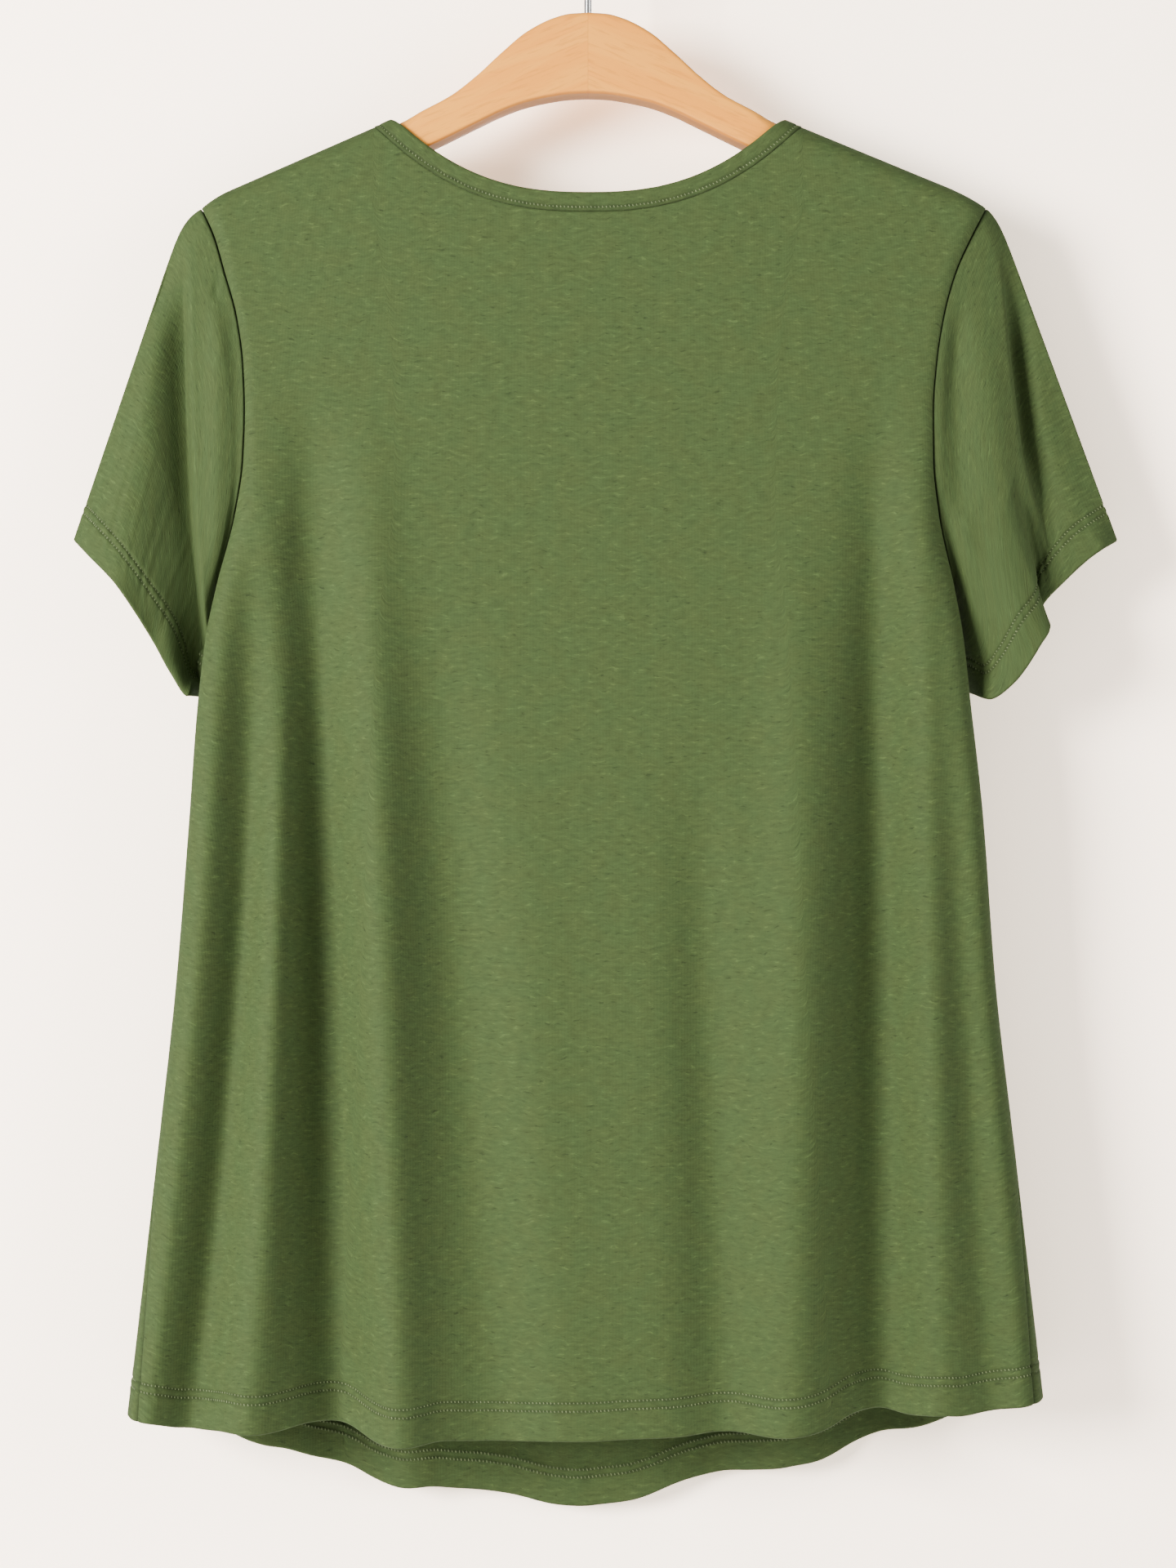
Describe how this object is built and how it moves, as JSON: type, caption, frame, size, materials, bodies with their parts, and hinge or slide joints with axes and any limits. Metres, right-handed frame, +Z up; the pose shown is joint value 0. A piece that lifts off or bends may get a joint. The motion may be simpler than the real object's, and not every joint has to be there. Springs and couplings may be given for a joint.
{
  "type": "t-shirt on a hanger",
  "caption": "Short-sleeved A-line jersey t-shirt with a scooped bound neck and a dipped hem, hanging on a wooden hanger with a steel hook.",
  "frame": {"origin": "inside top of the hanger's hook, where a rail or a wall hook carries it", "axes": "+Z up, +Y from the shirt's back to its front, +X to the right as the shirt's back is looked at"},
  "size_m": [0.55, 0.0801, 0.8704],
  "materials": {
    "jersey": "fine flecked cotton jersey, matt",
    "beech": "clear lacquered, satin",
    "steel": "bright plated"
  },
  "bodies": {
    "root": {"back_panel": "jersey", "front_panel": "jersey", "sleeve_left": "jersey", "sleeve_right": "jersey", "neck_binding": "jersey", "hanger_wood": "beech", "hanger_hook": "steel"}
  },
  "joints": []
}
